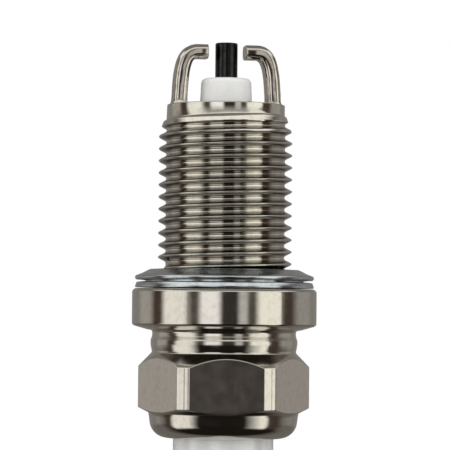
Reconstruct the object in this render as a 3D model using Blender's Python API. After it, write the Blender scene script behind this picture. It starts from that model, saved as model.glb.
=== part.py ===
"""A spark plug with two ground electrodes, M14 x 1.25 thread, 19 mm reach and a 16 mm hexagon.

The axis of the plug is Z and +Z points to the firing end. Z = 0 is the shell's seat face, where the
gasket lies. Lengths below are millimetres; make_object() turns them into metres.
"""

import math

import bmesh
import bpy
from mathutils import Matrix

MM = 0.001

# Driving dimensions of the whole plug
THREAD_R = 6.95
THREAD_ROOT_R = 6.17
THREAD_PITCH = 1.25
REACH = 19.05
HEX_FLAT_R = 8.0
HEX_CORNER_R = 8.86
FLANGE_R = 9.57
TERMINAL_END_Z = -50.5
CERAMIC_R = 5.2
FIT = 0.05

# Firing end
SHELL_END_R = 6.12
SHELL_END_BORE_R = 4.3
NOSE_R = 2.7
NOSE_TIP_Z = 21.8
CENTRE_ROD_R = 1.16
CENTRE_TIP_Z = 25.5
LEFT_SPARK_GAP = 0.87
RIGHT_SPARK_GAP = 0.75
ELECTRODE_THICK = 1.42
ELECTRODE_WIDE = 2.3
ELECTRODE_TURN = math.radians(8.2)
ELECTRODE_TIP_Z = 24.56

# The thread's first turn, and the relief below it that the captive gasket sits in
RELIEF_R = 6.05
RELIEF_TOP_Z = 1.2
THREAD_START = math.pi
LOWEST_CREST_Z = 1.965
THREAD_TURNS = 13
CREST_HALF = 0.08

# Inside the ceramic
SMALL_BORE_R = 1.25
MAIN_BORE_R = 2.0
BORE_STEP_Z = 1.5
CERAMIC_END_Z = -41.6

# Terminal
STUD_THREAD_R = 2.0
STUD_THREAD_ROOT_R = 1.6
STUD_PITCH = 0.7
STUD_END_Z = -49.3
COLLAR_R = 2.9
COLLAR_LOW_Z = CERAMIC_END_Z - 0.75
NUT_R = 3.2

TURNED_SIDES = 32
SMALL_SIDES = 16


def even_columns(count):
    """Angles of count equally spaced columns round the axis."""
    return [2 * math.pi * i / count for i in range(count)]


def hex_columns():
    """Angles of the shell's columns, from the thread's start: hexagon corners, their edges, the flats."""
    flat_edge = math.pi / 6 - math.acos(HEX_FLAT_R / HEX_CORNER_R)
    flat_step = (math.pi / 3 - 2 * flat_edge) / 3
    sector = [0] + [flat_edge + flat_step * i for i in range(4)]
    return [THREAD_START + k * math.pi / 3 + angle for k in range(6) for angle in sector]


def material(name, colour, roughness, metallic=0.0):
    made = bpy.data.materials.new(name)
    made.use_nodes = True
    shader = made.node_tree.nodes["Principled BSDF"]
    shader.inputs["Base Color"].default_value = (*colour, 1)
    shader.inputs["Roughness"].default_value = roughness
    shader.inputs["Metallic"].default_value = metallic
    return made


def make_object(name, bm, finish, parent=None):
    """Turns a bmesh in millimetres into a smooth-shaded object in metres with sharp edges kept."""
    bmesh.ops.scale(bm, vec=(MM, MM, MM), verts=bm.verts)
    bmesh.ops.recalc_face_normals(bm, faces=bm.faces)
    mesh = bpy.data.meshes.new(name)
    bm.to_mesh(mesh)
    bm.free()
    mesh.shade_smooth()
    mesh.set_sharp_from_angle(angle=math.radians(35))
    mesh.materials.append(finish)
    made = bpy.data.objects.new(name, mesh)
    bpy.context.scene.collection.objects.link(made)
    made.parent = parent
    return made


def ring_of(bm, radius, z, columns):
    """One vertex for each column, or a single vertex where the outline meets the axis."""
    if radius == 0:
        return [bm.verts.new((0, 0, z))]
    return [bm.verts.new((radius * math.cos(a), radius * math.sin(a), z)) for a in columns]


def bridge(bm, first, second):
    """Faces between two rings of the same count, either of which may be a point."""
    count = max(len(first), len(second))
    if len(first) == 1:
        for i in range(count):
            bm.faces.new((first[0], second[i], second[(i + 1) % count]))
    elif len(second) == 1:
        for i in range(count):
            bm.faces.new((first[i], first[(i + 1) % count], second[0]))
    else:
        for i in range(count):
            after = (i + 1) % count
            bm.faces.new((first[i], first[after], second[after], second[i]))


def turned(name, outline, finish, sides=TURNED_SIDES, parent=None):
    """A solid turned about Z. outline is (radius, z) points: a loop, or a line from the axis back to it."""
    bm = bmesh.new()
    rings = [ring_of(bm, r, z, even_columns(sides)) for r, z in outline]
    solid_core = outline[0][0] == 0
    if not solid_core:
        rings.append(rings[0])
    for first, second in zip(rings, rings[1:]):
        bridge(bm, first, second)
    return make_object(name, bm, finish, parent)


def arc(centre_r, centre_z, radius, start_deg, end_deg, steps):
    """(radius, z) points along an arc in the outline's plane; 0 degrees points outwards and 90 up."""
    angles = [math.radians(start_deg + (end_deg - start_deg) * i / steps) for i in range(steps + 1)]
    return [(centre_r + radius * math.cos(a), centre_z + radius * math.sin(a)) for a in angles]


def thread_column(angle, lowest_crest, pitch, turns, root_r, crest_r, limit):
    """Points up one column of a right-hand thread: root, crest edge, crest edge for each turn.

    angle is measured from the thread's start, where the lowest crest is. The crest grows from nothing over
    the first quarter turn and fades over the last. limit(z) is the largest radius at each height, which cuts
    the chamfer at the thread's start.
    """
    points = []
    for k in range(turns):
        turn = angle / (2 * math.pi) + k
        grown = min(1, 4 * turn, 4 * (turns - turn))
        peak_r = root_r + (crest_r - root_r) * grown
        crest_z = lowest_crest + pitch * turn
        half = CREST_HALF * pitch / THREAD_PITCH
        low_root_z = crest_z - pitch / 2
        for r, z in ((root_r, low_root_z), (peak_r, crest_z - half), (peak_r, crest_z + half)):
            points.append((min(r, limit(z)), z))
    return points


def add_thread(bm, columns, below, above, per_turn, column_points):
    """Skins a thread between two flat rings. Its columns join at the seam one turn further up."""
    grid = [
        [bm.verts.new((r * math.cos(a), r * math.sin(a), z)) for r, z in column_points(a)]
        for a in columns
    ]
    last = len(columns) - 1
    for i in range(last):
        here, after = grid[i], grid[i + 1]
        bm.faces.new((below[i], below[i + 1], after[0], here[0]))
        for low in range(len(here) - 1):
            bm.faces.new((here[low], after[low], after[low + 1], here[low + 1]))
        bm.faces.new((here[-1], after[-1], above[i + 1], above[i]))
    here, after = grid[last], grid[0]
    bm.faces.new((below[last], below[0], *after[: per_turn + 1], here[0]))
    for low in range(len(here) - 1 - per_turn):
        bm.faces.new((here[low], after[low + per_turn], after[low + per_turn + 1], here[low + 1]))
    bm.faces.new((above[0], above[last], *here[: -per_turn - 2 : -1], after[-1]))


def hex_radius(radius, angle):
    """The turned radius, cut back to the hexagon's flats."""
    from_flat = (angle % (math.pi / 3)) - math.pi / 6
    return min(radius, HEX_FLAT_R / math.cos(from_flat))


def thread_limit(z):
    """Largest radius of the M14 thread at each height: full, then a lead-in chamfer to the end ring."""
    chamfer_low_z, chamfer_high_z = 15.9, 18.1
    share = min(1, max(0, (z - chamfer_low_z) / (chamfer_high_z - chamfer_low_z)))
    return THREAD_R + (SHELL_END_R - THREAD_R) * share


def build_shell(finish):
    """One forging: crimp lip, 16 mm hexagon, swaged groove, flange, relief, thread and end ring."""
    columns = hex_columns()
    bm = bmesh.new()

    crimp = [(5.4, -15.3), (5.55, -15.42)] + arc(5.85, -13.65, 1.78, -80, -8, 5)
    below_hex = crimp + [(7.8, -12.85)]
    low_chamfer = [(7.93, -12.75), (8.42, -12.53), (HEX_CORNER_R, -12.29)]
    high_chamfer = [(HEX_CORNER_R, -8.08), (8.45, -7.6), (7.97, -7.12), (7.55, -6.72)]
    groove = [(7.5, -6.55), (7.6, -6.3), (7.6, -5.4), (7.46, -5.15), (7.45, -4.5)]
    flange = [(7.94, -4.34), (9.5, -3.84), (FLANGE_R, -3.2), (FLANGE_R, -0.38), (9.3, 0), (RELIEF_R, 0)]

    lower_rings = [ring_of(bm, r, z, columns) for r, z in below_hex]
    for r, z in low_chamfer + high_chamfer:
        hexed = [(hex_radius(r, a), a) for a in columns]
        lower_rings.append([bm.verts.new((h * math.cos(a), h * math.sin(a), z)) for h, a in hexed])
    lower_rings += [ring_of(bm, r, z, columns) for r, z in groove + flange]
    lower_rings.append(ring_of(bm, RELIEF_R, RELIEF_TOP_Z, columns))

    end_ring = [(SHELL_END_R, 18.6), (SHELL_END_R, REACH - 0.15), (SHELL_END_R - 0.15, REACH)]
    upper_rings = [ring_of(bm, r, z, columns) for r, z in end_ring]

    ledge = [(SHELL_END_BORE_R, 8.2), (3.95, 7.4), (3.95, 5.9), (4.8, 4.95)]
    cavity = [(4.8, -1.9), (6.1, -3.1), (6.1, -14.1), (5.85, -14.5), (5.4, -14.7)]
    bore = [(SHELL_END_BORE_R, REACH)] + ledge + cavity
    bore_rings = [ring_of(bm, r, z, columns) for r, z in bore]

    def m14_column(angle):
        turned_by = angle - THREAD_START
        return thread_column(
            turned_by, LOWEST_CREST_Z, THREAD_PITCH, THREAD_TURNS, THREAD_ROOT_R, THREAD_R, thread_limit)

    add_thread(bm, columns, lower_rings[-1], upper_rings[0], 3, m14_column)
    for stack in (lower_rings, upper_rings + bore_rings + [lower_rings[0]]):
        for first, second in zip(stack, stack[1:]):
            bridge(bm, first, second)
    return make_object("metal_shell", bm, finish)


def build_gasket(finish, parent):
    """Folded steel washer: a sloping top leaf over a rounded bottom leaf, joined at the inner side."""
    inner_r, groove_r, leaf_r = 6.5, 8.0, 9.29
    top_face = [(inner_r, 1.7), (7.1, 2.0), (7.8, 2.0), (8.6, 1.55), (leaf_r, 1.08)]
    top_leaf = top_face + [(9.2, 0.86), (groove_r, 0.8)]
    bottom_leaf = [(groove_r, 0.7), (9.16, 0.7), (leaf_r, 0.38), (9.1, 0.06), (6.7, 0.06), (inner_r, 0.3)]
    return turned("sealing_gasket", top_leaf + bottom_leaf, finish, parent=parent)


def electrode_path(tip_r):
    """(radius, z) along the middle of a ground electrode: a leaning leg, a bend, and a flat tip."""
    curve = ((4.95, REACH + FIT), (4.82, 22.9), (4.57, ELECTRODE_TIP_Z), (3.1, ELECTRODE_TIP_Z))
    steps = 9
    points = []
    for i in range(steps + 1):
        t = i / steps
        weights = ((1 - t) ** 3, 3 * t * (1 - t) ** 2, 3 * t * t * (1 - t), t**3)
        r = sum(weight * point[0] for weight, point in zip(weights, curve))
        z = sum(weight * point[1] for weight, point in zip(weights, curve))
        points.append((r, z))
    return points + [(tip_r, ELECTRODE_TIP_Z)]


def build_ground_electrode(name, turn, gap, finish):
    """A rounded bar swept along the path, with its weld foot spread on the shell's end face."""
    corner = 0.3
    half_thick, half_wide = ELECTRODE_THICK / 2, ELECTRODE_WIDE / 2
    section = [
        (half_thick - corner, half_wide), (half_thick, half_wide - corner),
        (half_thick, corner - half_wide), (half_thick - corner, -half_wide),
        (corner - half_thick, -half_wide), (-half_thick, corner - half_wide),
        (-half_thick, half_wide - corner), (corner - half_thick, half_wide),
    ]
    path = electrode_path(CENTRE_ROD_R + gap)
    bm = bmesh.new()
    rings = []
    for i, (r, z) in enumerate(path):
        before, after = path[max(i - 1, 0)], path[min(i + 1, len(path) - 1)]
        along = math.atan2(after[1] - before[1], after[0] - before[0])
        outward = (math.sin(along), -math.cos(along))
        foot = 1.12 if i == 0 else 1
        corners = [(r + foot * t * outward[0], foot * w, z + t * outward[1]) for t, w in section]
        rings.append([bm.verts.new(corner_point) for corner_point in corners])
    for first, second in zip(rings, rings[1:]):
        bridge(bm, first, second)
    bm.faces.new(rings[0])
    bm.faces.new(rings[-1])
    bmesh.ops.rotate(bm, cent=(0, 0, 0), matrix=Matrix.Rotation(turn, 3, "Z"), verts=bm.verts)
    return make_object(name, bm, finish)


def build_insulator(finish):
    """Alumina core: nose, sealing shoulder, collar, the round body and five ribs near the terminal."""
    nose = [(1.25, NOSE_TIP_Z), (1.98, NOSE_TIP_Z)] + arc(2.02, NOSE_TIP_Z - 0.62, 0.62, 75, 5, 2)
    shoulder = [(NOSE_R, 19.4), (3.6, 5.6), (4.55, 4.54), (4.65, 4.3), (4.65, -1.9), (5.95, -3.2)]
    collar = [(5.95, -9.4), (CERAMIC_R, -10.1), (CERAMIC_R, -23.5)]
    ribs = []
    rib_count, rib_pitch, first_rib_z, rib_depth = 5, 2.75, -24.2, 0.5
    for i in range(rib_count):
        top_z = first_rib_z - rib_pitch * i
        ribs += [(4.75 - rib_depth, top_z - 0.35), (4.75, top_z - 1.15), (4.75, top_z - 2.05)]
    end = [(4.3, -38.5), (4.2, CERAMIC_END_Z + 0.5), (3.7, CERAMIC_END_Z)]
    bore = [(MAIN_BORE_R, CERAMIC_END_Z), (MAIN_BORE_R, BORE_STEP_Z - 0.7), (SMALL_BORE_R, BORE_STEP_Z)]
    return turned("insulator", nose[1:] + shoulder + collar + ribs + end + bore + nose[:1], finish)


def build_centre_electrode(jacket_finish, core_finish):
    """Nickel alloy rod with a head that sits on the step in the ceramic, and its copper core."""
    core_r, core_top_z, head_low_z = 0.6, 20.5, -0.4
    head_r = MAIN_BORE_R - 0.2
    rod_low_z = BORE_STEP_Z + 0.1
    jacket = [
        (0, CENTRE_TIP_Z), (CENTRE_ROD_R - 0.1, CENTRE_TIP_Z), (CENTRE_ROD_R, CENTRE_TIP_Z - 0.1),
        (CENTRE_ROD_R, rod_low_z), (head_r, rod_low_z - 0.9), (head_r, head_low_z + 0.3),
        (head_r - 0.3, head_low_z), (core_r, head_low_z), (core_r, core_top_z), (0, core_top_z),
    ]
    turned("centre_electrode", jacket, jacket_finish, SMALL_SIDES)
    fill_r, fill_top_z = core_r - FIT, core_top_z - FIT
    core = [(0, fill_top_z), (fill_r, fill_top_z), (fill_r, head_low_z), (0, head_low_z)]
    turned("centre_electrode_core", core, core_finish, SMALL_SIDES)


def build_plug_of_bore(name, high_z, low_z, finish):
    """A cylinder that fills the ceramic's main bore between two heights."""
    radius = MAIN_BORE_R - FIT
    return turned(name, [(0, high_z), (radius, high_z), (radius, low_z), (0, low_z)], finish, SMALL_SIDES)


def build_terminal_stud(finish, stud_top_z):
    """Steel pin fused into the ceramic, with a collar on the ceramic's end and an M4 thread below it."""
    columns = even_columns(SMALL_SIDES)
    bm = bmesh.new()
    grip_r, shank_r, seat_z = 1.9, 1.6, CERAMIC_END_Z - FIT
    pin = [(0, stud_top_z), (grip_r, stud_top_z), (grip_r, stud_top_z - 4), (shank_r, stud_top_z - 4.4),
           (shank_r, CERAMIC_END_Z + 3), (grip_r, CERAMIC_END_Z + 2.6), (grip_r, seat_z),
           (COLLAR_R, seat_z), (COLLAR_R, COLLAR_LOW_Z), (STUD_THREAD_ROOT_R, COLLAR_LOW_Z)]
    tip = [(STUD_THREAD_ROOT_R, STUD_END_Z + 0.25), (STUD_THREAD_ROOT_R - 0.25, STUD_END_Z), (0, STUD_END_Z)]
    pin_rings = [ring_of(bm, r, z, columns) for r, z in pin]
    tip_rings = [ring_of(bm, r, z, columns) for r, z in tip]
    turns = 8
    lowest_crest = STUD_END_Z + 0.7

    def crest_r(_z):
        return STUD_THREAD_R - FIT

    def m4_column(angle):
        return thread_column(
            angle, lowest_crest, STUD_PITCH, turns, STUD_THREAD_ROOT_R, STUD_THREAD_R - FIT, crest_r)

    add_thread(bm, columns, tip_rings[0], pin_rings[-1], 3, m4_column)
    for stack in (pin_rings, tip_rings):
        for first, second in zip(stack, stack[1:]):
            bridge(bm, first, second)
    return make_object("terminal_stud", bm, finish)


def build_terminal_nut(finish, parent):
    """Removable terminal: base, snap groove and crown for the plug cap, bored for the M4 stud."""
    top_z = COLLAR_LOW_Z - FIT
    bore_r, bore_end_z = STUD_THREAD_R + 0.05, STUD_END_Z - 0.3
    base = [(bore_r, top_z), (NUT_R - 0.25, top_z), (NUT_R, top_z - 0.25), (NUT_R, top_z - 1.9)]
    snap_groove = [(2.75, top_z - 2.35), (2.75, top_z - 3.35), (NUT_R - 0.05, top_z - 3.9)]
    crown = [(NUT_R - 0.05, TERMINAL_END_Z + 1.6), (3.0, TERMINAL_END_Z + 0.7), (2.5, TERMINAL_END_Z)]
    bore = [(0, bore_end_z), (bore_r, bore_end_z)]
    outline = bore + base + snap_groove + crown + [(0, TERMINAL_END_Z)]
    return turned("terminal_nut", outline, finish, SMALL_SIDES, parent)


def build_packings(steel, talc):
    """What seals the ceramic in the shell: a washer on the ledge, and talc between two wire rings."""
    turned("seat_washer", [(4.0, 5.72), (4.5, 5.16), (4.5, 4.73), (4.0, 5.29)], steel)
    middle_r, wire_r = 5.65, 0.33
    for name, z in (("lower_packing_ring", -10.75), ("upper_packing_ring", -13.85)):
        turned(name, arc(middle_r, z, wire_r, 0, 300, 5), steel)
    inner_r, outer_r = CERAMIC_R + 0.08, 5.98
    turned("talc_ring", [(inner_r, -11.15), (outer_r, -11.15), (outer_r, -13.45), (inner_r, -13.45)], talc)


def axis_empty(name):
    """An empty on the plug's axis, which a moving piece hangs from."""
    made = bpy.data.objects.new(name, None)
    made.empty_display_size = 5 * MM
    bpy.context.scene.collection.objects.link(made)
    return made


def main():
    for old in list(bpy.data.objects):
        bpy.data.objects.remove(old)

    nickel = material("bright_nickel_plate", (0.74, 0.71, 0.63), 0.14, 1)
    zinc = material("zinc_plate", (0.6, 0.64, 0.68), 0.22, 1)
    alloy = material("nickel_alloy", (0.7, 0.68, 0.63), 0.25, 1)
    oxide = material("oxidised_nickel", (0.03, 0.03, 0.03), 0.3, 0.6)
    copper = material("copper", (0.8, 0.42, 0.28), 0.35, 1)
    steel = material("plain_steel", (0.5, 0.5, 0.5), 0.4, 1)
    ceramic = material("glazed_alumina", (0.8, 0.8, 0.78), 0.12)
    glass = material("conductive_glass", (0.25, 0.17, 0.12), 0.5)
    carbon = material("resistor_mix", (0.06, 0.06, 0.06), 0.8)
    talc = material("talc_powder", (0.7, 0.7, 0.66), 0.95)

    build_shell(nickel)
    build_gasket(zinc, axis_empty("gasket_axis"))
    build_ground_electrode("ground_electrode_left", math.pi + ELECTRODE_TURN, LEFT_SPARK_GAP, alloy)
    build_ground_electrode("ground_electrode_right", ELECTRODE_TURN, RIGHT_SPARK_GAP, alloy)
    build_insulator(ceramic)
    build_centre_electrode(oxide, copper)

    lower_seal, resistor, upper_seal = (-0.45, -3.4), (-3.45, -13.5), (-13.55, -16.5)
    build_plug_of_bore("lower_glass_seal", *lower_seal, glass)
    build_plug_of_bore("resistor", *resistor, carbon)
    build_plug_of_bore("upper_glass_seal", *upper_seal, glass)
    build_terminal_stud(steel, upper_seal[1] - FIT)
    build_terminal_nut(nickel, axis_empty("nut_axis"))
    build_packings(steel, talc)


main()
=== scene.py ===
"""Looks of the spark plug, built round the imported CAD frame. Lengths in the tables are millimetres."""

import math

import bmesh
import bpy
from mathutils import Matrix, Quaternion, Vector, noise


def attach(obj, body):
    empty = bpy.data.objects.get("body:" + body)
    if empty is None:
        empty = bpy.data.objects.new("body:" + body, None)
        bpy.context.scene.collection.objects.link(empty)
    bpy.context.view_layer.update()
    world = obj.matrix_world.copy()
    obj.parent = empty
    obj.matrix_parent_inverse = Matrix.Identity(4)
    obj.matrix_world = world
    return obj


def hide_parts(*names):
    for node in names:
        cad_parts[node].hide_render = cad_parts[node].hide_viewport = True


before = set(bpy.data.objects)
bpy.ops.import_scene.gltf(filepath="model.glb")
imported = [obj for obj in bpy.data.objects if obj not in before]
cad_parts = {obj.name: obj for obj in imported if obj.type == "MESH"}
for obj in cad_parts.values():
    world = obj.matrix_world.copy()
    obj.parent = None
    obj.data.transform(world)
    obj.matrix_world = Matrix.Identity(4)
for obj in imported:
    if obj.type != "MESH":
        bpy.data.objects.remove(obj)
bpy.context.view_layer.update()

MM = 0.001
BODY = "plug_body"

# Dimensions shared with the CAD
THREAD_CREST_R = 6.95
THREAD_PITCH = 1.25
THREAD_START_DEG = 180
LOWEST_CREST_Z = 1.965
THREAD_TURNS = 13
RELIEF_R = 6.05
RELIEF_TOP_Z = 1.2
SHELL_END_R = 6.12
REACH = 19.05
HEX_FLAT_R = 8.0
HEX_CORNER_R = 8.86
CENTRE_ROD_R = 1.16
CENTRE_TIP_Z = 25.5
NOSE_TIP_Z = 21.8
CERAMIC_END_Z = -41.6
STUD_END_Z = -49.3
TERMINAL_END_Z = -50.5
ELECTRODE_WIDE = 2.3
ELECTRODE_TIP_Z = 24.56
ELECTRODE_TURN = math.radians(8.2)

# Dimensions that differ a little from the CAD's
THREAD_ROOT_R = 6.16
ELECTRODE_THICK = 1.5

# A crest grows over its first twelfth of a turn and fades over its last sixth
GROWTH_PER_TURN = 12
FADE_PER_TURN = 6

# Texture features per metre
CLOUD_SCALE = 1500
POLISH_SCALE = 900
WAVE_SCALE = 260
GRAIN_SCALE = 5200
TURNING_SCALE = 300
STREAK_SCALE = 330

# Material slots of the shell
THREAD_SLOT, FLAT_SLOT, SHADED_FLANK_SLOT = 1, 2, 3


# ---------------------------------------------------------------- meshes

class Skin:
    """Collects the vertices and faces of one solid, in millimetres, row by row."""

    def __init__(self, columns):
        self.columns = columns
        self.verts = []
        self.faces = []

    def row(self, points):
        """Adds one (radius, z) for each column and returns the new vertex numbers."""
        start = len(self.verts)
        for angle, (r, z) in zip(self.columns, points):
            self.verts.append((r * math.cos(angle), r * math.sin(angle), z))
        return list(range(start, len(self.verts)))

    def ring(self, r, z):
        return self.row([(r, z)] * len(self.columns))

    def point(self, z):
        self.verts.append((0, 0, z))
        return [len(self.verts) - 1]

    def bridge(self, low, high):
        count = max(len(low), len(high))
        for i in range(count):
            after = (i + 1) % count
            if len(low) == 1:
                self.faces.append((low[0], high[i], high[after]))
            elif len(high) == 1:
                self.faces.append((low[i], low[after], high[0]))
            else:
                self.faces.append((low[i], low[after], high[after], high[i]))

    def stack(self, rows):
        for low, high in zip(rows, rows[1:]):
            self.bridge(low, high)

    def thread(self, below, above, per_turn, column_points):
        """Skins a helical thread between two rings; its seam joins one turn further up."""
        grid = []
        for angle in self.columns:
            start = len(self.verts)
            for r, z in column_points(angle):
                self.verts.append((r * math.cos(angle), r * math.sin(angle), z))
            grid.append(list(range(start, len(self.verts))))
        last = len(self.columns) - 1
        for i in range(last):
            here, after = grid[i], grid[i + 1]
            self.faces.append((below[i], below[i + 1], after[0], here[0]))
            for low in range(len(here) - 1):
                self.faces.append((here[low], after[low], after[low + 1], here[low + 1]))
            self.faces.append((here[-1], after[-1], above[i + 1], above[i]))
        here, after = grid[last], grid[0]
        self.faces.append((below[last], below[0], *after[: per_turn + 1], here[0]))
        for low in range(len(here) - 1 - per_turn):
            far = low + per_turn
            self.faces.append((here[low], after[far], after[far + 1], here[low + 1]))
        self.faces.append((above[0], above[last], *here[: -per_turn - 2 : -1], after[-1]))

    def make(self, name, finish, sharp_deg=40):
        return mesh_piece(name, self.verts, self.faces, finish, sharp_deg)


def mesh_piece(name, verts, faces, finish, sharp_deg=40):
    mesh = bpy.data.meshes.new(name)
    mesh.from_pydata([(x * MM, y * MM, z * MM) for x, y, z in verts], [], faces)
    bm = bmesh.new()
    bm.from_mesh(mesh)
    bmesh.ops.recalc_face_normals(bm, faces=bm.faces)
    bm.to_mesh(mesh)
    bm.free()
    mesh.shade_smooth()
    mesh.set_sharp_from_angle(angle=math.radians(sharp_deg))
    mesh.materials.append(finish)
    made = bpy.data.objects.new(name, mesh)
    bpy.context.scene.collection.objects.link(made)
    weighted = made.modifiers.new("even_shading", "WEIGHTED_NORMAL")
    weighted.keep_sharp = True
    return made


def even_columns(count):
    return [2 * math.pi * i / count for i in range(count)]


def arc(centre_r, centre_z, radius, start_deg, end_deg, steps):
    """(radius, z) points along an arc; 0 degrees points outwards and 90 up."""
    angles = [math.radians(start_deg + (end_deg - start_deg) * i / steps) for i in range(steps + 1)]
    return [(centre_r + radius * math.cos(a), centre_z + radius * math.sin(a)) for a in angles]


def rounded(outline, radius, steps=4):
    """Softens every inner corner of an open (radius, z) outline with a small curve."""
    result = [outline[0]]
    for before, corner, after in zip(outline, outline[1:], outline[2:]):
        c = Vector(corner)
        to_before, to_after = Vector(before) - c, Vector(after) - c
        cut = min(radius, to_before.length * 0.45, to_after.length * 0.45)
        start, end = c + to_before.normalized() * cut, c + to_after.normalized() * cut
        for i in range(steps + 1):
            t = i / steps
            p = start * (1 - t) ** 2 + c * 2 * t * (1 - t) + end * t * t
            result.append((p.x, p.y))
    result.append(outline[-1])
    return result


def weighted_sum(weights, points):
    return tuple(sum(w * p[k] for w, p in zip(weights, points)) for k in (0, 1))


def flowing(points, steps=3):
    """A smooth curve through every (radius, z) point."""
    ends = [points[0]] + points + [points[-1]]
    result = []
    for before, start, end, after in zip(ends, ends[1:], ends[2:], ends[3:]):
        for i in range(steps):
            t = i / steps
            weights = ((-t + 2 * t * t - t**3) / 2, (2 - 5 * t * t + 3 * t**3) / 2,
                       (t + 4 * t * t - 3 * t**3) / 2, (t**3 - t * t) / 2)
            result.append(weighted_sum(weights, (before, start, end, after)))
    return result + [points[-1]]


def turned(name, outline, finish, sides=160, closed=False, wobble=0.0, sharp_deg=40):
    """A solid turned about Z from (radius, z) points. wobble is a slight unevenness in mm."""
    skin = Skin(even_columns(sides))
    rows = []
    for r, z in outline:
        if r == 0:
            rows.append(skin.point(z))
            continue
        points = []
        for a in skin.columns:
            swing = wobble * noise.noise(Vector((math.cos(a) * 1.7, math.sin(a) * 1.7, z * 0.25)))
            points.append((r + swing, z + swing * 0.6))
        rows.append(skin.row(points))
    if closed:
        rows.append(rows[0])
    skin.stack(rows)
    return skin.make(name, finish, sharp_deg)


def thread_profile(pitch, root_r, crest_r):
    """(height above the crest's middle, root radius, rise from it) for one turn of a 60 degree thread."""
    half = [(-0.5, 0.0), (-0.445, 0.01), (-0.395, 0.045), (-0.355, 0.108), (-0.32, 0.19), (-0.24, 0.42),
            (-0.14, 0.755), (-0.11, 0.838), (-0.08, 0.905), (-0.05, 0.953), (-0.025, 0.984)]
    full = half + [(0.0, 0.995)] + [(-h, s) for h, s in half[:0:-1]]
    return [(h * pitch, root_r, (crest_r - root_r) * s) for h, s in full]


def thread_column(angle, profile, lowest_crest, pitch, turns, limit):
    """(radius, z) points up one column. The crest grows at the thread's start and fades at its end."""
    points = []
    for k in range(turns):
        turn = angle / (2 * math.pi) + k
        grown = min(1, GROWTH_PER_TURN * turn, FADE_PER_TURN * (turns - turn))
        grown = grown * grown * (3 - 2 * grown)
        for height, root_r, rise in profile:
            z = lowest_crest + pitch * turn + height
            points.append((min(root_r + rise * grown, limit(z)), z))
    return points


# ---------------------------------------------------------------- materials

def new_material(name):
    made = bpy.data.materials.new(name)
    made.use_nodes = True
    nodes, links = made.node_tree.nodes, made.node_tree.links
    return made, nodes, links, nodes["Principled BSDF"]


def noise_node(nodes, links, scale, detail, stretch=(1, 1, 1), roughness=0.55):
    """Noise in object space. scale counts features per metre, and stretch squeezes it along each axis."""
    place = nodes.new("ShaderNodeTexCoord")
    squeeze = nodes.new("ShaderNodeMapping")
    squeeze.inputs["Scale"].default_value = stretch
    links.new(place.outputs["Object"], squeeze.inputs["Vector"])
    made = nodes.new("ShaderNodeTexNoise")
    made.inputs["Scale"].default_value = scale
    made.inputs["Detail"].default_value = detail
    made.inputs["Roughness"].default_value = roughness
    links.new(squeeze.outputs["Vector"], made.inputs["Vector"])
    return made.outputs["Fac"]


def spread(nodes, links, value, from_low, from_high, to_low, to_high):
    made = nodes.new("ShaderNodeMapRange")
    limits = {"From Min": from_low, "From Max": from_high, "To Min": to_low, "To Max": to_high}
    for slot, number in limits.items():
        made.inputs[slot].default_value = number
    links.new(value, made.inputs["Value"])
    return made.outputs["Result"]


def mix(nodes, links, factor, first, second):
    """Blends two colours. Each is a node's output, or (red, green, blue)."""
    made = nodes.new("ShaderNodeMix")
    made.data_type = "RGBA"
    links.new(factor, made.inputs["Factor"])
    for slot, colour in (("A", first), ("B", second)):
        if isinstance(colour, tuple):
            made.inputs[slot].default_value = (*colour, 1)
        else:
            links.new(colour, made.inputs[slot])
    return made.outputs["Result"]


def bump(nodes, links, height, distance, under=None):
    made = nodes.new("ShaderNodeBump")
    made.inputs["Distance"].default_value = distance
    links.new(height, made.inputs["Height"])
    if under is not None:
        links.new(under, made.inputs["Normal"])
    return made.outputs["Normal"]


def metal(name, bright, dull, rough_low, rough_high, wave=0.0, grain=0.0, turning=0.0):
    """A metal with cloudy colour and uneven polish, and with a wave, grain or turning marks in mm."""
    made, nodes, links, shader = new_material(name)
    shader.inputs["Metallic"].default_value = 1
    cloud = noise_node(nodes, links, CLOUD_SCALE, 7, roughness=0.65)
    patches = spread(nodes, links, cloud, 0.46, 0.74, 0, 1)
    links.new(mix(nodes, links, patches, bright, dull), shader.inputs["Base Color"])
    polish = noise_node(nodes, links, POLISH_SCALE, 6)
    links.new(spread(nodes, links, polish, 0.35, 0.7, rough_low, rough_high), shader.inputs["Roughness"])
    normal = None
    if wave:
        normal = bump(nodes, links, noise_node(nodes, links, WAVE_SCALE, 2), wave * MM)
    if grain:
        normal = bump(nodes, links, noise_node(nodes, links, GRAIN_SCALE, 4), grain * MM, under=normal)
    if turning:
        lines = noise_node(nodes, links, TURNING_SCALE, 3, stretch=(1, 1, 40))
        normal = bump(nodes, links, lines, turning * MM, under=normal)
    if normal is not None:
        links.new(normal, shader.inputs["Normal"])
    return made


def ceramic(name, colour, stain, roughness, coat, streaked=False):
    """Alumina: near white, faintly speckled or streaked lengthways, with a glaze where coat is over 0."""
    made, nodes, links, shader = new_material(name)
    if streaked:
        streaks = noise_node(nodes, links, STREAK_SCALE, 3, stretch=(1, 1, 0.04))
        marks = spread(nodes, links, streaks, 0.4, 0.62, 0, 1)
    else:
        marks = spread(nodes, links, noise_node(nodes, links, CLOUD_SCALE, 6), 0.5, 0.8, 0, 1)
    links.new(mix(nodes, links, marks, colour, stain), shader.inputs["Base Color"])
    uneven = noise_node(nodes, links, 700, 4)
    smoothest, roughest = roughness * 0.8, roughness * 1.2
    links.new(spread(nodes, links, uneven, 0.3, 0.7, smoothest, roughest), shader.inputs["Roughness"])
    shader.inputs["Coat Weight"].default_value = coat
    shader.inputs["Coat Roughness"].default_value = 0.06
    ripple_depth = 0.004 * MM
    ripple = noise_node(nodes, links, POLISH_SCALE, 3)
    links.new(bump(nodes, links, ripple, ripple_depth), shader.inputs["Normal"])
    return made


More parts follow.
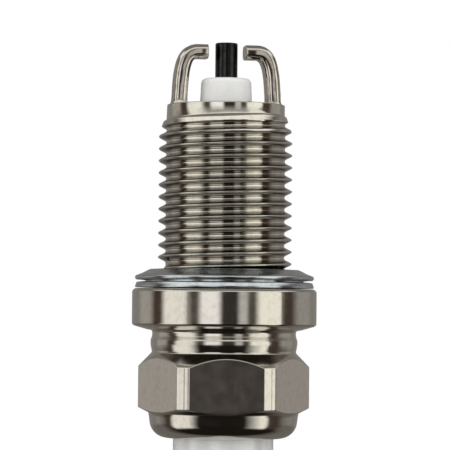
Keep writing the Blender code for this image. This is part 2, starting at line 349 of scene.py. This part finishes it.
nickel = metal("nickel_plate", (0.67, 0.65, 0.605), (0.56, 0.535, 0.48), 0.08, 0.14,
               wave=0.003, turning=0.0006)
flat_nickel = metal("drawn_flats", (0.7, 0.67, 0.62), (0.6, 0.57, 0.52), 0.15, 0.2, grain=0.0025)
thread_nickel = metal("thread_nickel", (0.72, 0.7, 0.645), (0.58, 0.55, 0.49), 0.03, 0.07, wave=0.003)
# The flanks get a far darker copy of the nickel plate: painted shade standing in for the dark reflections
# down in the thread's grooves
shaded_flank_nickel = metal("thread_flanks_painted_shade", (0.25, 0.235, 0.215), (0.18, 0.165, 0.15), 0.08, 0.16, grain=0.001)
electrode_metal = metal("electrode_alloy", (0.64, 0.61, 0.56), (0.36, 0.32, 0.27), 0.05, 0.11, wave=0.012)
zinc = metal("zinc_plate", (0.6, 0.65, 0.69), (0.45, 0.5, 0.55), 0.14, 0.28, wave=0.006, grain=0.002)
dark_oxide = metal("dark_oxide", (0.038, 0.038, 0.04), (0.016, 0.016, 0.017), 0.16, 0.26, grain=0.001)
plain_steel = metal("plain_steel", (0.5, 0.5, 0.5), (0.32, 0.31, 0.3), 0.3, 0.5, grain=0.003, turning=0.003)
copper = metal("copper_core", (0.8, 0.4, 0.26), (0.5, 0.24, 0.16), 0.28, 0.45, grain=0.002)
bare_alumina = ceramic("bare_alumina", (0.76, 0.785, 0.82), (0.7, 0.715, 0.735), 0.45, 0.0)
glaze = ceramic("glazed_alumina", (0.72, 0.75, 0.765), (0.58, 0.6, 0.615), 0.3, 0.8, streaked=True)
glass_mix = ceramic("conductive_glass", (0.24, 0.16, 0.11), (0.12, 0.08, 0.06), 0.5, 0.2)
resistor_mix = ceramic("resistor_mix", (0.06, 0.06, 0.06), (0.02, 0.02, 0.02), 0.75, 0.0)
talc_powder = ceramic("talc_powder", (0.7, 0.69, 0.65), (0.58, 0.57, 0.53), 0.9, 0.0)


# ---------------------------------------------------------------- metal shell

def shell_columns():
    """Columns round the shell, close together where a flat of the hexagon meets its turned corner."""
    edge = 30 - math.degrees(math.acos(HEX_FLAT_R / HEX_CORNER_R))
    shares = (0, 0.13, 0.22, 0.3, 0.37, 0.45, 0.55, 0.7, 0.86, 0.96, 1, 1.04, 1.12)
    corner = [edge * share for share in shares]
    flat_steps = 22
    first_flat, last_flat = corner[-1], 60 - corner[-1]
    flat = [first_flat + (last_flat - first_flat) * i / flat_steps for i in range(1, flat_steps)]
    sector = corner + flat + [60 - c for c in corner[:0:-1]]
    return [math.radians(THREAD_START_DEG + 60 * k + offset) for k in range(6) for offset in sector]


def hex_cut(angle):
    """Radius of the hexagon with its turned corners: the edge is eased, with a fine crease beside it."""
    from_flat = (angle % (math.pi / 3)) - math.pi / 6
    flat = HEX_FLAT_R / math.cos(from_flat)
    ease = 0.03
    overlap = max(ease - abs(flat - HEX_CORNER_R), 0) / ease
    crease_depth, crease_deg, crease_wide = 0.013, 1.6, 0.5
    from_corner = math.degrees(math.pi / 6 - abs(from_flat))
    crease = crease_depth * math.exp(-(((from_corner - crease_deg) / crease_wide) ** 2))
    return min(flat, HEX_CORNER_R) - overlap * overlap * ease * 0.25 - crease


def hex_rows(skin):
    """Rows from the crimp's shoulder up over both chamfers, which follow the curves the chamfers cut."""
    low_r, low_z, low_slope = 7.8, -12.85, 0.56 / 1.09
    high_r, high_z, high_slope = 7.59, -6.75, -1.04
    cuts = [hex_cut(a) for a in skin.columns]
    ease = 0.05

    def on_low(r):
        return low_z + (r - low_r) * low_slope

    def on_high(r):
        return high_z + (r - high_r) * high_slope

    low_edge = [(c, on_low(c)) for c in cuts]
    high_edge = [(c, on_high(c)) for c in cuts]
    rows = [
        [(c - ease, on_low(c - ease)) for c in cuts],
        [(r - ease * 0.12, z + ease * 0.1) for r, z in low_edge],
        [(r, z + ease) for r, z in low_edge],
        [(r, z + ease * 3) for r, z in low_edge],
        [(r, z - ease * 3) for r, z in high_edge],
        [(r, z - ease) for r, z in high_edge],
        [(r - ease * 0.2, z - ease * 0.05) for r, z in high_edge],
        [(c - ease * 1.1, on_high(c - ease * 1.1)) for c in cuts],
    ]
    return [skin.row(points) for points in rows]


def shell_thread_limit(z):
    """Largest radius at each height: the thread, its lead-in chamfer, a short step and the end ring."""
    stations = ((0, THREAD_CREST_R), (15.95, THREAD_CREST_R), (17.75, 6.33), (17.95, SHELL_END_R),
                (REACH, SHELL_END_R))
    for (low_z, low_r), (high_z, high_r) in zip(stations, stations[1:]):
        if z <= high_z:
            return low_r + (high_r - low_r) * (z - low_z) / (high_z - low_z)
    return SHELL_END_R


def build_shell():
    skin = Skin(shell_columns())
    lip = [(5.42, -14.75), (5.38, -15.2), (5.42, -15.38), (5.55, -15.45), (5.75, -15.42)]
    crimp = arc(5.87, -13.65, 1.78, -80, -6, 14)
    shoulder = rounded([crimp[-1], (7.74, -13.1), (7.8, -12.85), (7.86, -12.82)], 0.12)[1:]
    below_hex = [skin.ring(r, z) for r, z in lip + crimp + shoulder]
    hexagon = hex_rows(skin)
    groove = flowing([
        (7.74, -6.9), (7.6, -6.76), (7.52, -6.67), (7.485, -6.57), (7.485, -6.48), (7.505, -6.37),
        (7.532, -6.24), (7.558, -6.1), (7.582, -5.95), (7.602, -5.8), (7.613, -5.65), (7.614, -5.5),
        (7.603, -5.38), (7.575, -5.27), (7.54, -5.17), (7.503, -5.06), (7.472, -4.96), (7.453, -4.87),
        (7.446, -4.77), (7.447, -4.67), (7.455, -4.57), (7.48, -4.47), (7.55, -4.38), (7.68, -4.33),
    ])
    flange = rounded([
        (7.68, -4.33), (8.0, -4.28), (9.4, -3.88), (9.57, -3.7), (9.57, -0.3), (9.3, -0.02),
        (7.5, 0), (6.2, 0), (RELIEF_R, 0.15), (RELIEF_R, RELIEF_TOP_Z),
    ], 0.12)
    neck = groove + flange[1:]
    lower = below_hex + hexagon + [skin.ring(r, z) for r, z in neck]

    end = rounded([(SHELL_END_R, 18.8), (SHELL_END_R, REACH), (4.3, REACH), (4.3, 8.2), (3.95, 7.4)], 0.13)
    bore = [(3.95, 5.9), (4.8, 4.95), (4.8, -1.9), (6.1, -3.1), (6.1, -14.1), (5.85, -14.45)]
    upper = [skin.ring(r, z) for r, z in end + bore]

    profile = thread_profile(THREAD_PITCH, THREAD_ROOT_R, THREAD_CREST_R)

    def m14_column(angle):
        turned_by = angle - math.radians(THREAD_START_DEG)
        return thread_column(turned_by, profile, LOWEST_CREST_Z, THREAD_PITCH, THREAD_TURNS,
                             shell_thread_limit)

    skin.thread(lower[-1], upper[0], len(profile), m14_column)
    skin.stack(lower)
    skin.stack(upper + [lower[0]])
    shell = skin.make("plated_shell", nickel, 50)
    for finish in (thread_nickel, flat_nickel, shaded_flank_nickel):
        shell.data.materials.append(finish)
    thread_low, thread_high, outside_r = 1.3 * MM, 18.97 * MM, 5.5 * MM
    hex_low, hex_high, flats_r = -12.8 * MM, -6.9 * MM, (HEX_CORNER_R - 0.06) * MM
    for face in shell.data.polygons:
        z, radius, slope = face.center.z, face.center.xy.length, abs(face.normal.z)
        if thread_low < z < thread_high and radius > outside_r:
            # Flank faces take the darker plate, which is painted shade in the grooves; crests and roots
            # take the thread plate
            face.material_index = SHADED_FLANK_SLOT if slope > 0.85 else THREAD_SLOT
        if hex_low < z < hex_high and radius < flats_r and slope < 0.1:
            face.material_index = FLAT_SLOT
    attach(shell, BODY)
    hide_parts("metal_shell")


build_shell()


# ---------------------------------------------------------------- gasket

def build_gasket():
    inner, tip_r, tip_high, fold_r = 6.5, 9.02, 1.1, 0.26
    rim = rounded([(8.7, 0.05), (9.26, 0.06), (9.28, 0.2), (9.13, 0.62), (8.9, 0.66)], 0.07)
    lower_leaf = [(inner, 0.4), (inner + 0.1, 0.12), (6.8, 0.05)] + rim[:-1]
    slit = [(8.9, 0.66), (8.2, 0.72), (8.2, 0.78), (8.9, 0.86)]
    fold = arc(tip_r, tip_high, fold_r, -70, 62, 9)
    upper_leaf = [(8.55, 1.55), (7.95, 1.86), (7.7, 1.97), (7.1, 2.0)]
    inside = [(6.75, 1.96), (6.55, 1.82), (inner, 1.6)]
    outline = lower_leaf + slit + fold + upper_leaf + inside
    gasket = turned("folded_gasket", outline, zinc, 200, closed=True, wobble=0.02, sharp_deg=60)
    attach(gasket, "gasket")
    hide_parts("sealing_gasket")


build_gasket()


# ---------------------------------------------------------------- electrodes

def rounded_bar_section(thick, wide, corner, steps):
    """(across the thickness, across the width) points of a bar with rounded corners."""
    points = []
    for quarter, (thick_side, wide_side) in enumerate(((1, 1), (-1, 1), (-1, -1), (1, -1))):
        for i in range(steps + 1):
            a = math.radians(90 * quarter + 90 * i / steps)
            points.append((thick_side * (thick / 2 - corner) + corner * math.cos(a),
                           wide_side * (wide / 2 - corner) + corner * math.sin(a)))
    return points


def electrode_path(tip_r, steps=40):
    """(radius, z) along the bar's middle line: one curve from the foot, then a short straight end."""
    pulls = ((4.95, REACH + 0.03), (4.82, 22.9), (4.57, ELECTRODE_TIP_Z), (3.1, ELECTRODE_TIP_Z))
    points = []
    for i in range(steps + 1):
        t = i / steps
        weights = ((1 - t) ** 3, 3 * t * (1 - t) ** 2, 3 * t * t * (1 - t), t**3)
        points.append(Vector(weighted_sum(weights, pulls)))
    return points + [Vector((tip_r + short, ELECTRODE_TIP_Z)) for short in (0.1, 0.03, 0)]


def build_ground_electrode(side, turn, tip_r):
    flare_size, flare_height, lump_size = 0.16, 0.18, 0.02
    section = rounded_bar_section(ELECTRODE_THICK, ELECTRODE_WIDE, 0.6, 8)
    path = electrode_path(tip_r)
    tapers = {len(path) - 2: 0.97, len(path) - 1: 0.9}
    verts, faces = [], []
    count = len(section)
    for i, p in enumerate(path):
        before, after = path[max(i - 1, 0)], path[min(i + 1, len(path) - 1)]
        along = math.atan2(after.y - before.y, after.x - before.x)
        out_r, out_z = math.sin(along), -math.cos(along)
        flare = flare_size * math.exp(-(p.y - REACH) / flare_height)
        taper = tapers.get(i, 1)
        for thick, wide in section:
            lump = lump_size * noise.noise(Vector((thick * 1.5, wide * 1.5, p.y * 1.2 + turn)))
            outward = (thick * (1 + flare) + lump) * taper
            sideways = (wide * (1 + flare) + lump) * taper
            r, z = p.x + outward * out_r, max(p.y + outward * out_z, REACH + 0.01)
            verts.append((r * math.cos(turn) - sideways * math.sin(turn),
                          r * math.sin(turn) + sideways * math.cos(turn), z))
    for i in range(len(path) - 1):
        for j in range(count):
            k = (j + 1) % count
            faces.append((i * count + j, i * count + k, (i + 1) * count + k, (i + 1) * count + j))
    faces.append(tuple(range(count)))
    faces.append(tuple(range(len(verts) - count, len(verts))))
    bar = mesh_piece(f"side_electrode_{side}", verts, faces, electrode_metal, 50)
    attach(bar, BODY)
    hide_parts(f"ground_electrode_{side}")


build_ground_electrode("left", math.pi + ELECTRODE_TURN, 2.03)
build_ground_electrode("right", ELECTRODE_TURN, 1.91)


def build_centre_electrode():
    edge = 0.12
    tip = [(0, CENTRE_TIP_Z), (CENTRE_ROD_R - 0.16, CENTRE_TIP_Z)]
    tip += arc(CENTRE_ROD_R - edge, CENTRE_TIP_Z - edge, edge, 80, 0, 4)
    rest = [(CENTRE_ROD_R, 1.6), (1.8, 0.7), (1.8, -0.1), (1.5, -0.4), (0.6, -0.4), (0.6, 20.5), (0, 20.5)]
    rod = turned("firing_rod", tip + rest, dark_oxide, 96)
    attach(rod, BODY)
    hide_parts("centre_electrode")


build_centre_electrode()


# ---------------------------------------------------------------- insulator

def build_insulator():
    tip_r, corner = 2.6, 0.5
    nose = [(1.25, NOSE_TIP_Z - 0.08), (1.33, NOSE_TIP_Z)]
    nose += arc(tip_r - corner, NOSE_TIP_Z - corner, corner, 88, 3, 8)
    shank = [(2.7, 19.4), (3.6, 5.6), (4.55, 4.54), (4.65, 4.3), (4.65, -1.9), (5.95, -3.2), (5.95, -9.4)]
    barrel = [(5.2, -10.1), (5.2, -23.3)]
    ribs = []
    rib_count, rib_pitch, first_rib_z = 5, 2.75, -24.2
    for i in range(rib_count):
        top_z = first_rib_z - rib_pitch * i
        ribs += [(4.25, top_z - 0.35), (4.75, top_z - 1.15), (4.75, top_z - 2.05)]
    end = [(4.3, -38.5), (4.2, CERAMIC_END_Z + 0.5), (3.7, CERAMIC_END_Z), (2.0, CERAMIC_END_Z)]
    outside = rounded(shank + barrel + ribs + end, 0.45, 6)
    bore = [(2.0, 0.8), (1.25, 1.5)]
    body = turned("ceramic_insulator", nose + outside + bore, bare_alumina, closed=True, wobble=0.004)
    body.data.materials.append(glaze)
    glazed_below = -9 * MM
    for face in body.data.polygons:
        if face.center.z < glazed_below:
            face.material_index = 1
    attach(body, BODY)
    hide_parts("insulator")


build_insulator()


# ---------------------------------------------------------------- terminal

def build_terminal_stud():
    root_r, crest_r, pitch, turns, low_crest = 1.6, 1.95, 0.7, 8, -48.6
    skin = Skin(even_columns(72))
    tip_outline = ((1.3, STUD_END_Z), (1.4, -49.24), (root_r, -49.02))
    tip = [skin.point(STUD_END_Z)] + [skin.ring(r, z) for r, z in tip_outline]
    collar_r, collar_top, collar_low = 2.9, CERAMIC_END_Z - 0.05, CERAMIC_END_Z - 0.75
    pin_end_z = -16.55
    outline = rounded([
        (root_r, collar_low - 0.12), (root_r, collar_low), (collar_r, collar_low), (collar_r, collar_top),
        (1.9, collar_top), (1.9, -39.0), (1.6, -38.6), (1.6, -20.95), (1.9, -20.55), (1.9, pin_end_z),
    ], 0.08)
    pin = [skin.ring(r, z) for r, z in outline] + [skin.point(pin_end_z)]
    profile = thread_profile(pitch, root_r, crest_r)

    def m4_column(angle):
        return thread_column(angle, profile, low_crest, pitch, turns, lambda z: crest_r)

    skin.thread(tip[-1], pin[0], len(profile), m4_column)
    skin.stack(tip)
    skin.stack(pin)
    stud = skin.make("threaded_stud", plain_steel, 50)
    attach(stud, BODY)
    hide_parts("terminal_stud")


def build_terminal_nut():
    top_z, end_z = CERAMIC_END_Z - 0.8, TERMINAL_END_Z
    outside = rounded([
        (2.05, top_z), (2.95, top_z), (3.2, top_z - 0.25), (3.2, top_z - 1.9), (2.75, top_z - 2.35),
        (2.75, top_z - 3.35), (3.15, top_z - 3.9), (3.15, end_z + 1.6), (3.0, end_z + 0.7),
        (2.5, end_z), (0.6, end_z),
    ], 0.22, 5)
    dimple = [(0.45, end_z + 0.12), (0, end_z + 0.16)]
    hole = [(0, -49.6), (2.05, -49.6)]
    nut = turned("terminal_cap_nut", hole + outside + dimple, nickel, 120)
    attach(nut, "nut")
    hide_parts("terminal_nut")


build_terminal_stud()
build_terminal_nut()

# The sealed inner pieces keep their CAD shapes
INNER_FINISHES = {
    "centre_electrode_core": copper,
    "lower_glass_seal": glass_mix,
    "upper_glass_seal": glass_mix,
    "resistor": resistor_mix,
    "talc_ring": talc_powder,
    "seat_washer": plain_steel,
    "lower_packing_ring": plain_steel,
    "upper_packing_ring": plain_steel,
}
for node, finish in INNER_FINISHES.items():
    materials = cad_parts[node].data.materials
    materials.clear()
    materials.append(finish)


# ---------------------------------------------------------------- studio

def ramp(nodes, links, factor, stops):
    """A colour for each azimuth. stops are (degrees, colour), with 0 at the camera and right positive."""
    made = nodes.new("ShaderNodeValToRGB")
    spots = made.color_ramp.elements
    spots[0].color = (*stops[0][1], 1)
    spots[1].color = (*stops[-1][1], 1)
    for degrees, colour in stops[1:-1]:
        spots.new((degrees + 180) / 360).color = (*colour, 1)
    links.new(factor, made.inputs["Fac"])
    return made.outputs["Color"]


def build_world():
    """Soft boxes left and right, cards near the camera, a strip above, dark gaps and grey behind."""
    world = bpy.data.worlds.new("studio")
    bpy.context.scene.world = world
    world.use_nodes = True
    nodes, links = world.node_tree.nodes, world.node_tree.links
    nodes.clear()
    place = nodes.new("ShaderNodeTexCoord")
    parts = nodes.new("ShaderNodeSeparateXYZ")
    links.new(place.outputs["Generated"], parts.inputs["Vector"])
    toward_camera = nodes.new("ShaderNodeMath")
    toward_camera.operation = "MULTIPLY"
    toward_camera.inputs[1].default_value = -1
    links.new(parts.outputs["Y"], toward_camera.inputs[0])
    azimuth = nodes.new("ShaderNodeMath")
    azimuth.operation = "ARCTAN2"
    links.new(parts.outputs["X"], azimuth.inputs[0])
    links.new(toward_camera.outputs[0], azimuth.inputs[1])
    factor = spread(nodes, links, azimuth.outputs[0], -math.pi, math.pi, 0, 1)

    grey = (0.27, 0.25, 0.235)
    left_grey = (0.43, 0.405, 0.375)
    right_grey = (0.37, 0.35, 0.33)
    brown = (0.07, 0.05, 0.04)
    left_box = (1.08, 1.05, 0.98)
    right_box = (1.16, 1.13, 1.02)
    card = (1.16, 1.12, 1.1)
    narrow_card = (0.62, 0.6, 0.58)
    dark = (0.09, 0.08, 0.068)
    black = (0.042, 0.036, 0.031)
    level = [
        (-180, grey), (-138, grey), (-126, left_grey), (-108, left_grey), (-98, brown), (-88, brown),
        (-80, left_box), (-54, left_box), (-43, dark), (-36, dark), (-29, card), (-10, card),
        (-4, black), (13, black), (18, narrow_card), (25, narrow_card), (29, dark), (36, dark),
        (43, right_box), (72, right_box), (77, brown), (90, brown), (103, right_grey),
        (124, right_grey), (138, grey), (180, grey),
    ]
    dim_grey = (0.18, 0.165, 0.15)
    deep = (0.014, 0.011, 0.009)
    low = [
        (-180, dim_grey), (-118, dim_grey), (-104, brown), (-95, brown), (-88, left_box),
        (-60, left_box), (-43, deep), (32, deep), (62, right_box), (69, right_box), (75, brown),
        (92, brown), (110, dim_grey), (180, dim_grey),
    ]
    ceiling = (1.0, 0.97, 0.92)
    dim_ceiling = (0.42, 0.405, 0.375)
    top_grey = (0.24, 0.225, 0.205)
    high = [
        (-180, top_grey), (-125, top_grey), (-100, dark), (-88, dark), (-76, ceiling), (-56, ceiling),
        (-40, dim_ceiling), (38, dim_ceiling), (52, ceiling), (68, ceiling), (80, dark), (95, dark),
        (125, top_grey), (180, top_grey),
    ]
    strip = (1.1, 1.07, 1.0)
    overhead = [
        (-180, top_grey), (-125, top_grey), (-100, strip), (95, strip), (125, top_grey), (180, top_grey),
    ]
    top = [(-180, top_grey), (180, top_grey)]
    under = [
        (-180, dim_grey), (-130, dim_grey), (-95, deep), (95, deep), (130, dim_grey), (180, dim_grey),
    ]

    # Each band takes over from the last between two heights on the sphere of directions
    bands = ((low, -0.12, -0.24), (under, -0.45, -0.62), (high, 0.2, 0.42), (overhead, 0.44, 0.54),
             (top, 0.72, 0.8))
    colour = ramp(nodes, links, factor, level)
    for stops, start, end in bands:
        share = spread(nodes, links, parts.outputs["Z"], start, end, 0, 1)
        colour = mix(nodes, links, share, colour, ramp(nodes, links, factor, stops))

    # Matt surfaces get more light than the plate mirrors, and the camera sees plain white
    matt_boost = 2.7
    path = nodes.new("ShaderNodeLightPath")
    light = nodes.new("ShaderNodeBackground")
    links.new(colour, light.inputs["Color"])
    strength = spread(nodes, links, path.outputs["Is Diffuse Ray"], 0, 1, 1, matt_boost)
    links.new(strength, light.inputs["Strength"])
    seen = nodes.new("ShaderNodeBackground")
    seen.inputs["Color"].default_value = (1, 1, 1, 1)
    choose = nodes.new("ShaderNodeMixShader")
    links.new(path.outputs["Is Camera Ray"], choose.inputs["Fac"])
    links.new(light.outputs["Background"], choose.inputs[1])
    links.new(seen.outputs["Background"], choose.inputs[2])
    output = nodes.new("ShaderNodeOutputWorld")
    links.new(choose.outputs["Shader"], output.inputs["Surface"])


def build_floor():
    """A plain pale floor below the terminal nut's lowest place. The metal doesn't mirror it."""
    radius, z = 420 * MM, -59 * MM
    rim = [(radius * math.cos(a), radius * math.sin(a), z) for a in even_columns(96)]
    mesh = bpy.data.meshes.new("floor")
    mesh.from_pydata(rim, [], [tuple(range(len(rim)))])
    made, nodes, links, shader = new_material("pale_floor")
    shader.inputs["Base Color"].default_value = (0.86, 0.87, 0.89, 1)
    shader.inputs["Roughness"].default_value = 0.8
    mesh.materials.append(made)
    floor = bpy.data.objects.new("floor", mesh)
    bpy.context.scene.collection.objects.link(floor)
    floor.visible_glossy = False


def build_camera():
    distance, azimuth, roll = 275, math.radians(-2.2), math.radians(0.5)
    eye_z, aim_z, view_width = -1.6, 6.6, 46.7
    eye = Vector((distance * math.sin(azimuth), -distance * math.cos(azimuth), eye_z))
    aim = Vector((0, 0, aim_z))
    data = bpy.data.cameras.new("camera")
    data.sensor_width = 36
    data.lens = 36 * distance / view_width
    data.clip_start = 0.01
    camera = bpy.data.objects.new("camera", data)
    camera.location = eye * MM
    camera.rotation_mode = "QUATERNION"
    camera.rotation_quaternion = (aim - eye).to_track_quat("-Z", "Y") @ Quaternion((0, 0, 1), roll)
    bpy.context.scene.collection.objects.link(camera)
    bpy.context.scene.camera = camera


build_world()
build_floor()
build_camera()
bpy.context.scene.view_settings.view_transform = "Standard"
